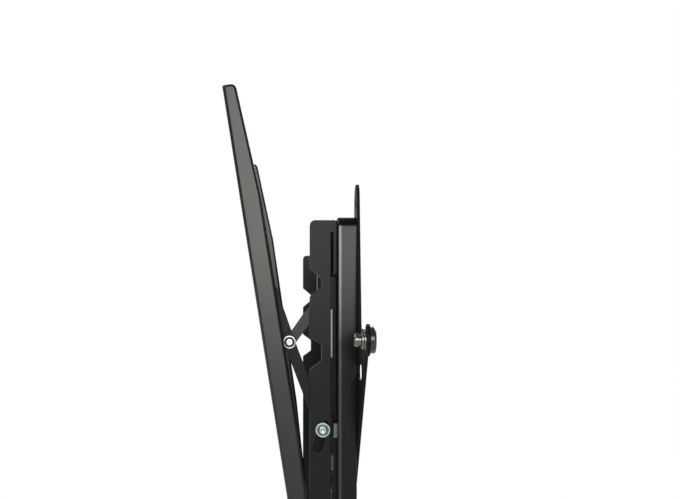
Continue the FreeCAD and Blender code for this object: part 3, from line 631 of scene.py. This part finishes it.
def thread_tree():
    """A helical ridge round a shank."""
    tree = Tree("thread_ridge", [
        ("Radius", "NodeSocketFloat"), ("Pitch", "NodeSocketFloat"), ("Length", "NodeSocketFloat"),
        ("Ridge", "NodeSocketFloat"), ("Material", "NodeSocketMaterial")])
    turns = tree.sum("DIVIDE", tree.value("Length"), tree.value("Pitch"))
    path = tree.add("GeometryNodeCurveSpiral", None, {
        "Resolution": 28, "Rotations": turns, "Start Radius": tree.value("Radius"),
        "End Radius": tree.value("Radius"), "Height": tree.value("Length")})
    ridge = tree.add("GeometryNodeCurvePrimitiveCircle", None,
                     {"Resolution": 4, "Radius": tree.value("Ridge")})
    tree.close(tree.add("GeometryNodeCurveToMesh", None,
                        {"Curve": path, "Profile Curve": ridge, "Fill Caps": True}))
    return tree


def ring_tree():
    """Raised rings about one centre, evenly spaced."""
    tree = Tree("pad_rings", [
        ("Count", "NodeSocketInt"), ("Step", "NodeSocketFloat"), ("Bead", "NodeSocketFloat"),
        ("Material", "NodeSocketMaterial")])
    points = tree.add("GeometryNodeMeshLine", None, {"Count": tree.value("Count"), "Offset": (0, 0, 0)})
    ring = tree.add("GeometryNodeCurvePrimitiveCircle", None, {"Resolution": 48, "Radius": 1.0})
    index = tree.add("GeometryNodeInputIndex")
    share = tree.sum("ADD", index, 1.0)
    radius = tree.sum("MULTIPLY", share, tree.value("Step"))
    rings = tree.add("GeometryNodeInstanceOnPoints", None,
                     {"Points": points, "Instance": ring, "Scale": radius})
    bead = tree.add("GeometryNodeCurvePrimitiveCircle", None,
                    {"Resolution": 8, "Radius": tree.value("Bead")})
    whole = tree.add("GeometryNodeRealizeInstances", None, {0: rings})
    tree.close(tree.add("GeometryNodeCurveToMesh", None, {"Curve": whole, "Profile Curve": bead}))
    return tree


def tooth_tree():
    """Teeth set round a washer's rim."""
    tree = Tree("washer_teeth", [
        ("Count", "NodeSocketInt"), ("Radius", "NodeSocketFloat"), ("Tooth", "NodeSocketVector"),
        ("Material", "NodeSocketMaterial")])
    circle = tree.add("GeometryNodeCurvePrimitiveCircle", None,
                      {"Resolution": tree.value("Count"), "Radius": tree.value("Radius")})
    points = tree.add("GeometryNodeCurveToPoints", {"mode": "EVALUATED"}, {0: circle})
    tooth = tree.add("GeometryNodeMeshCube", None, {"Size": tree.value("Tooth")})
    position = tree.add("GeometryNodeInputPosition")
    facing = tree.add("FunctionNodeAlignEulerToVector", {"axis": "X"}, {"Vector": position})
    teeth = tree.add("GeometryNodeInstanceOnPoints", None,
                     {"Points": points, "Instance": tooth, "Rotation": facing})
    tree.close(teeth)
    return tree


def extra(mesh, name, body):
    """Adds a small piece that no CAD node stands for."""
    piece = bpy.data.objects.new(name, mesh)
    bpy.context.scene.collection.objects.link(piece)
    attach(piece, body)


# Operators
class MOUNT_OT_wall_frame(bpy.types.Operator):
    """Coats the wall tray, rear plates, rail, stop bar and rivets"""

    bl_idname = "mount.wall_frame"
    bl_label = "Wall Frame"

    def execute(self, context):
        width = size_settings().sheet_break
        tray = eased("wall_tray", width, coat_tray()).data
        tray.materials.append(coat_web())
        tray.materials.append(coat_rim())
        low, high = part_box("wall_tray")
        rim = low.y + size_settings().tray_rim
        cut_flat(tray, (0.0, rim, 0.0), (0.0, 1.0, 0.0))
        for face in tray.polygons:
            at_end = abs(face.center.x) > high.x - TRAY_END_SKIN and abs(face.normal.x) > TRAY_END_FACING
            if face.center.y < low.y + FRONT_SKIN:
                face.material_index = 1
            elif face.center.y < rim and at_end:
                face.material_index = 2
        eased("hook_rail", width, coat_web())
        for side in SIDES:
            eased("rear_plate_" + side, width, coat_plate())
        for node in ("rail_spacers", "rail_rivets", "stop_bar_rivets", "plate_rivets"):
            eased(node, size_settings().fastener_break, coat_bracket())
        bar = eased("stop_bar", width, coat_web()).data
        bar.materials.append(grey_bar())
        for face in bar.polygons:
            if abs(face.normal.x) > BAR_END_FACING:
                face.material_index = 1
        return {"FINISHED"}


class MOUNT_OT_brackets(bpy.types.Operator):
    """Coats the hook brackets, paints a highlight on their noses, and finishes the glide strips"""

    bl_idname = "mount.brackets"
    bl_label = "Hook Brackets"

    def execute(self, context):
        for side in SIDES:
            bracket = eased("hook_bracket_" + side, size_settings().sheet_break, coat_bracket()).data
            bracket.materials.append(coat_nose_highlight())
            cut_flat(bracket, (0.0, HIGHLIGHT_ROOT_Y, 0.0), (0.0, 1.0, 0.0))
            # Faces on the noses take the lighter coat: a painted highlight.
            for face in bracket.polygons:
                if face.center.y > HIGHLIGHT_ROOT_Y and HIGHLIGHT_BOTTOM < face.center.z < HIGHLIGHT_TOP:
                    face.material_index = 1
            eased("glide_strip_" + side, size_settings().sheet_break, glide_nylon())
        return {"FINISHED"}


class MOUNT_OT_arms(bpy.types.Operator):
    """Coats the tilt arms and their stay links"""

    bl_idname = "mount.arms"
    bl_label = "Tilt Arms and Links"

    def execute(self, context):
        for side in SIDES:
            eased("tilt_arm_" + side, size_settings().sheet_break, coat_arm())
            eased("short_link_" + side, size_settings().sheet_break, coat_link())
            eased("long_link_" + side, size_settings().sheet_break, coat_bracket())
        return {"FINISHED"}


class MOUNT_OT_feet(bpy.types.Operator):
    """Finishes the levelling feet, their screws and washers, and the ringed wall pads"""

    bl_idname = "mount.feet"
    bl_label = "Feet and Pads"

    def execute(self, context):
        sizes = size_settings()
        eased("levelling_feet", sizes.sheet_break, foot_gloss())
        eased("levelling_screws", sizes.fastener_break, dull_zinc())
        low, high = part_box("levelling_washers")
        eased("levelling_washers", sizes.fastener_break, dull_zinc(), (low.y + high.y) / 2)
        eased("wall_pads", sizes.sheet_break, pad_rubber())
        low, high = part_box("wall_pads")
        radius = (high.z - low.z) / 2
        tree = ring_tree()
        step = radius * PAD_RING_REACH / sizes.pad_rings
        deep = sizes.pad_ring_height * PAD_RING_SUNK
        for side, x in (("right", high.x - radius), ("left", low.x + radius)):
            mesh = tree.mesh("rings", {"Count": sizes.pad_rings, "Step": step,
                                       "Bead": sizes.pad_ring_height, "Material": pad_rubber()})
            turn = Matrix.Rotation(math.pi / 2, 4, "X")
            lift = Matrix.Translation((x, high.y - deep, (low.z + high.z) / 2))
            mesh.transform(lift @ turn)
            mesh.shade_smooth()
            extra(mesh, "pad_rings_" + side, "wall_frame")
        return {"FINISHED"}


class MOUNT_OT_lock_bolts(bpy.types.Operator):
    """Makes the domed lock bolts with dark rings that paint the shade in their grooves, toothed washers
    and nuts
    """

    bl_idname = "mount.lock_bolts"
    bl_label = "Lock Bolts"

    def execute(self, context):
        sizes = size_settings()
        teeth = tooth_tree()
        for side in SIDES:
            node = "lock_bolt_" + side
            start, end, y, z, sign = span_x(node, side)
            low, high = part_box(node)
            head = (high.z - low.z) / 2
            long = abs(end - start)
            washer = "lock_washer_" + side
            seat = abs(span_x(washer, side)[1] - start)
            tall = long - seat
            rows = bolt_rows(LOCK_SHANK, seat, head, tall, LOCK_HEAD)
            rows += socket_rows(head * LOCK_SOCKET[0], long, tall * LOCK_SOCKET[1])
            mesh = laid_along_x(turned(rows), start, y, z, sign)
            stand_in(mesh, "lock_bolt_domed_" + side, node, zinc())
            # A dark ring in the groove under the head's rim: painted shade.
            rows = [(head * out, tall * up, False) for out, up in LOCK_GROOVE_SHADE]
            mesh = laid_along_x(turned(rows, True), start + sign * seat, y, z, sign)
            mesh.materials.append(dull_zinc())
            extra(mesh, "lock_bolt_groove_shade_" + side, body_of(node))
            eased(washer, sizes.fastener_break, zinc())
            eased("lock_nut_" + side, sizes.fastener_break, zinc())
            outer, y, z = span_x(washer, side)[1:4]
            low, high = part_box(washer)
            radius = (high.z - low.z) / 2
            tooth = (radius * TOOTH_LONG, radius * TOOTH_WIDE, TOOTH_TALL)
            mesh = teeth.mesh("teeth", {
                "Count": sizes.washer_teeth, "Radius": radius * TOOTH_RADIUS, "Tooth": tooth,
                "Material": zinc()})
            laid_along_x(mesh, outer, y, z, sign)
            extra(mesh, "washer_teeth_" + side, body_of(washer))
        return {"FINISHED"}


class MOUNT_OT_middle_bolts(bpy.types.Operator):
    """Makes the grooved middle bolts with dark rubber rings that paint the shade in their grooves, and
    finishes their nuts and the link pins
    """

    bl_idname = "mount.middle_bolts"
    bl_label = "Link Bolts"

    def execute(self, context):
        sizes = size_settings()
        for side in SIDES:
            node = "mid_bolt_" + side
            start, end, y, z, sign = span_x(node, side)
            low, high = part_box(node)
            head = (high.z - low.z) / 2
            long = abs(end - start)
            seat = abs(span_x("long_link_" + side, side)[1] - start)
            tall = long - seat
            rows = bolt_rows(MID_SHANK, seat, head, tall, MID_HEAD)
            rows += socket_rows(head * MID_SOCKET[0], long, tall * MID_SOCKET[1])
            mesh = laid_along_x(turned(rows), start, y, z, sign)
            stand_in(mesh, "mid_bolt_grooved_" + side, node, bright_steel())
            # A dark rubber ring in the head's groove: painted shade.
            rows = [(head * out, tall * up, False) for out, up in MID_GROOVE_SHADE]
            mesh = laid_along_x(turned(rows, True), start + sign * seat, y, z, sign)
            mesh.materials.append(pad_rubber())
            extra(mesh, "mid_bolt_groove_shade_" + side, body_of(node))
            eased("mid_nut_" + side, sizes.fastener_break, zinc())
            for name in ("short_link_pin_", "slide_pin_"):
                eased(name + side, sizes.fastener_break, coat_bracket())
        return {"FINISHED"}


class MOUNT_OT_pivots(bpy.types.Operator):
    """Plates the tilt pivots, their nuts and sleeves"""

    bl_idname = "mount.pivots"
    bl_label = "Tilt Pivots"

    def execute(self, context):
        sizes = size_settings()
        for side in SIDES:
            for name in ("pivot_bolt_", "pivot_nut_", "pivot_sleeves_"):
                eased(name + side, sizes.fastener_break, zinc())
        return {"FINISHED"}


class MOUNT_OT_safety_screws(bpy.types.Operator):
    """Finishes the safety screws and winds their threads"""

    bl_idname = "mount.safety_screws"
    bl_label = "Safety Screws"

    def execute(self, context):
        sizes = size_settings()
        tree = thread_tree()
        for side in SIDES:
            node = "safety_screw_" + side
            eased(node, sizes.fastener_break, zinc())
            low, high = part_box(node)
            x = (low.x + high.x) / 2
            z = (low.z + high.z) / 2
            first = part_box("hook_bracket_" + side)[1].y + THREAD_START
            mesh = tree.mesh("thread", {
                "Radius": SAFETY_SHANK, "Pitch": sizes.thread_pitch, "Ridge": sizes.thread_height,
                "Length": high.y - THREAD_END - first, "Material": zinc()})
            turn = Matrix.Rotation(-math.pi / 2, 4, "X")
            mesh.transform(Matrix.Translation((x, first, z)) @ turn)
            mesh.shade_flat()
            extra(mesh, "safety_thread_" + side, body_of(node))
        return {"FINISHED"}


class MOUNT_OT_stage(bpy.types.Operator):
    """Sets the camera, lamps, floor and white surroundings"""

    bl_idname = "mount.stage"
    bl_label = "Stage"

    def execute(self, context):
        stage = stage_settings()
        set_camera(stage)
        set_lamps(stage)
        set_floor(stage)
        set_world(stage)
        context.scene.view_settings.view_transform = "Standard"
        return {"FINISHED"}


def set_camera(stage):
    data = bpy.data.cameras.new("camera")
    data.lens = stage.lens
    data.sensor_width = SENSOR_WIDTH
    data.shift_x, data.shift_y = stage.shift
    data.clip_start = CLIP_START
    camera = bpy.data.objects.new("camera", data)
    camera.location = stage.camera_place
    camera.rotation_euler = (math.pi / 2, 0.0, math.pi / 2)
    bpy.context.scene.collection.objects.link(camera)
    bpy.context.scene.camera = camera


def lamp(name, place, target, size, power, colour):
    data = bpy.data.lights.new(name, "AREA")
    data.shape = "RECTANGLE"
    data.size, data.size_y = size
    data.energy = power
    data.color = colour
    made = bpy.data.objects.new(name, data)
    made.location = place
    aim = Vector(target) - Vector(place)
    made.rotation_euler = aim.to_track_quat("-Z", "Y").to_euler()
    made.visible_camera = False
    bpy.context.scene.collection.objects.link(made)


def set_lamps(stage):
    """A key and a low strip behind the camera, and one lamp each in front of and beyond the mount."""
    lamp("key_lamp", place=(2.8, 0.1, 0.86), target=(0.2, 0.1, 0.86), size=(1.6, 1.3),
         power=stage.key_power, colour=KEY_TINT)
    lamp("strip_lamp", place=(2.78, 0.1, 0.22), target=(0.2, 0.1, 0.22), size=(1.6, 0.24),
         power=stage.strip_power, colour=KEY_TINT)
    lamp("front_lamp", place=(0.2, -1.9, 2.3), target=(0.0, -0.05, 0.05), size=(2.2, 1.4),
         power=stage.front_power, colour=FRONT_TINT)
    lamp("rear_lamp", place=(-1.9, 1.5, 1.6), target=(0.0, -0.05, 0.0), size=(2.0, 1.6),
         power=stage.rear_power, colour=WHITE)


def set_floor(stage):
    """A pale floor that keeps the shadow near the mount and goes white further out."""
    mesh = bpy.data.meshes.new("floor")
    low = stage.floor_height
    signs = ((-1, -1), (1, -1), (1, 1), (-1, 1))
    corners = [(x * FLOOR_REACH, y * FLOOR_REACH, low) for x, y in signs]
    mesh.from_pydata(corners, [], [(0, 1, 2, 3)])
    material = bpy.data.materials.new("pale_floor")
    graph = Graph(material)
    place = graph.add("ShaderNodeTexCoord", None, None, "Object")
    far = graph.add("ShaderNodeVectorMath", {"operation": "LENGTH"}, {0: place}, "Value")
    fade = graph.add("ShaderNodeMapRange", {"interpolation_type": "SMOOTHSTEP"},
                     {"Value": far, "From Min": SHADOW_NEAR, "From Max": SHADOW_FAR})
    camera, gloss, through = seen_rays(graph)
    shown = (camera + gloss + through).at_most(1.0)
    pale = graph.add("ShaderNodeBsdfDiffuse", None, {"Color": rgba(WHITE, FLOOR_TONE)})
    white = graph.add("ShaderNodeEmission", None, {"Color": rgba(WHITE), "Strength": 1.0})
    whole = graph.add("ShaderNodeMixShader", None, {0: shown * fade, 1: pale, 2: white})
    graph.add("ShaderNodeOutputMaterial", None, {"Surface": whole})
    mesh.materials.append(material)
    floor = bpy.data.objects.new("floor", mesh)
    bpy.context.scene.collection.objects.link(floor)


def seen_rays(graph):
    """Rays that show the surroundings in the picture, in gloss and through glass."""
    camera = graph.add("ShaderNodeLightPath", None, None, "Is Camera Ray")
    gloss = graph.add("ShaderNodeLightPath", None, None, "Is Glossy Ray")
    through = graph.add("ShaderNodeLightPath", None, None, "Is Transmission Ray")
    return camera, gloss, through


def set_world(stage):
    """White surroundings that light the mount softly, with a backdrop that is white in gloss too."""
    world = bpy.data.worlds.new("surroundings")
    bpy.context.scene.world = world
    graph = Graph(world)
    way = graph.add("ShaderNodeTexCoord", None, None, "Generated")
    along = graph.add("ShaderNodeVectorMath", {"operation": "DOT_PRODUCT"},
                      {0: way, 1: (-1.0, 0.0, 0.0)}, "Value")
    backdrop = graph.add("ShaderNodeMapRange", {"interpolation_type": "SMOOTHSTEP"},
                         {"Value": along, "From Min": BACKDROP_EDGE, "From Max": BACKDROP_FULL})
    camera, gloss, through = seen_rays(graph)
    shown = (camera + through + gloss * backdrop).at_most(1.0)
    level = shown + (1 - shown) * stage.ambient
    light = graph.add("ShaderNodeBackground", None, {"Color": rgba(WHITE), "Strength": level})
    graph.add("ShaderNodeOutputWorld", None, {"Surface": light})


class MOUNT_PT_panel(bpy.types.Panel):
    """Lists the mount's pieces and settings"""

    bl_idname = "MOUNT_PT_panel"
    bl_label = "Wall Mount"
    bl_space_type = "VIEW_3D"
    bl_region_type = "UI"
    bl_category = "Mount"

    def draw(self, context):
        for operator in OPERATORS:
            self.layout.operator(operator.bl_idname)
        for name in ("mount_finish", "mount_sizes", "mount_stage"):
            group = getattr(context.scene, name)
            box = self.layout.box()
            for key in group.__annotations__:
                box.prop(group, key)


GROUPS = (("mount_finish", MountFinish), ("mount_sizes", MountSizes), ("mount_stage", MountStage))
OPERATORS = (MOUNT_OT_wall_frame, MOUNT_OT_brackets, MOUNT_OT_arms, MOUNT_OT_feet,
             MOUNT_OT_lock_bolts, MOUNT_OT_middle_bolts, MOUNT_OT_pivots,
             MOUNT_OT_safety_screws, MOUNT_OT_stage)


def register():
    for name, group in GROUPS:
        bpy.utils.register_class(group)
        setattr(bpy.types.Scene, name, bpy.props.PointerProperty(type=group))
    for kind in (*OPERATORS, MOUNT_PT_panel):
        bpy.utils.register_class(kind)


def unregister():
    for kind in reversed((*OPERATORS, MOUNT_PT_panel)):
        bpy.utils.unregister_class(kind)
    for name, group in reversed(GROUPS):
        delattr(bpy.types.Scene, name)
        bpy.utils.unregister_class(group)


def main():
    register()
    bpy.ops.mount.wall_frame()
    bpy.ops.mount.brackets()
    bpy.ops.mount.arms()
    bpy.ops.mount.feet()
    bpy.ops.mount.lock_bolts()
    bpy.ops.mount.middle_bolts()
    bpy.ops.mount.pivots()
    bpy.ops.mount.safety_screws()
    bpy.ops.mount.stage()


if __name__ == "__main__":
    main()
